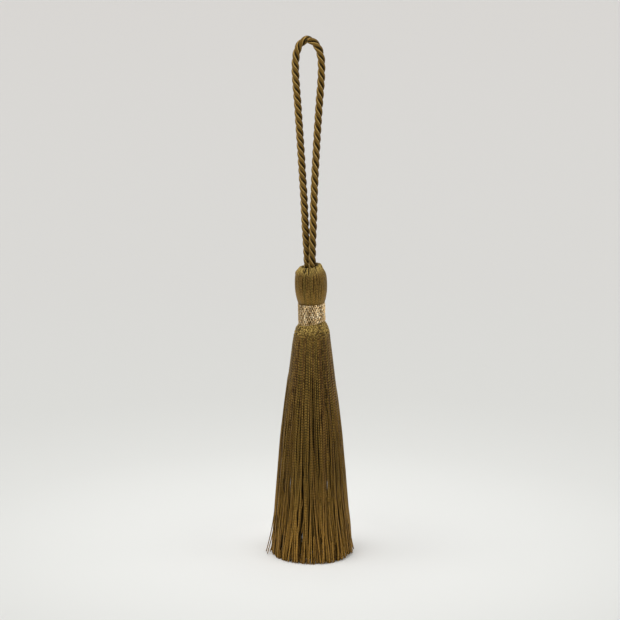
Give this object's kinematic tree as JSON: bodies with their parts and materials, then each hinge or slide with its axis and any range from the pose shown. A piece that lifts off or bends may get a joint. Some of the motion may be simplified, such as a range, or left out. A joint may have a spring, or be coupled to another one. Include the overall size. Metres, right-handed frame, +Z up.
{
  "type": "silk tassel",
  "caption": "Silky yarn tassel with a tied rounded head, a woven metallic neck band, a fanned skirt and a tall twisted-cord hanging loop.",
  "frame": {"origin": "middle of the skirt's cut end, on the surface it stands on", "axes": "+Z up along the tassel towards the hanging loop, +X to the right as the loop is seen open, -Y towards the viewer"},
  "size_m": [0.0378, 0.0378, 0.2454],
  "materials": {
    "silk_yarn": "silky fine yarn, olive bronze",
    "metallic_thread": "woven metallic thread, pale gold",
    "twisted_cord": "silky three-ply twisted cord, olive bronze"
  },
  "bodies": {
    "root": {"yarn_bundle": "silk_yarn", "neck_band": "metallic_thread", "hanging_loop": "twisted_cord"}
  },
  "joints": []
}
